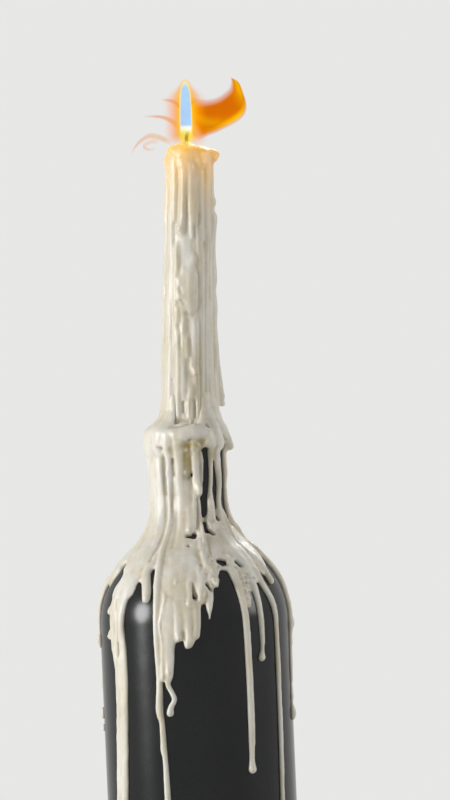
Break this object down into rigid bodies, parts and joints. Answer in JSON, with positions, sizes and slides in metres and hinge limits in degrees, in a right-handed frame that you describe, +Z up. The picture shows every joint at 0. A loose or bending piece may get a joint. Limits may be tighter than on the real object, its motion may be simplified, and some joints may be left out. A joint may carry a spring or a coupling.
{
  "type": "melted candle",
  "caption": "Partly burnt taper candle standing in the neck of a dark glass wine bottle, with set wax that has run over the lip, neck and shoulder and down the body.",
  "frame": {"origin": "centre of the bottle's foot, on the standing surface", "axes": "+Z up along the bottle's axis, -Y towards the front with the long wax runs, +X towards the side the candle leans to"},
  "size_m": [0.0777, 0.0783, 0.3874],
  "materials": {
    "dark_glass": "nearly black green glass with a satin film of dust",
    "wax": "ivory candle wax, set, faintly glossy and translucent",
    "charred_cotton": "braided cotton, charred at the tip"
  },
  "bodies": {
    "root": {"bottle": "dark_glass", "candle": "wax", "wax_crust": "wax", "wax_drop_upper": "wax", "wax_drop_lower": "wax", "wick": "charred_cotton"}
  },
  "joints": []
}
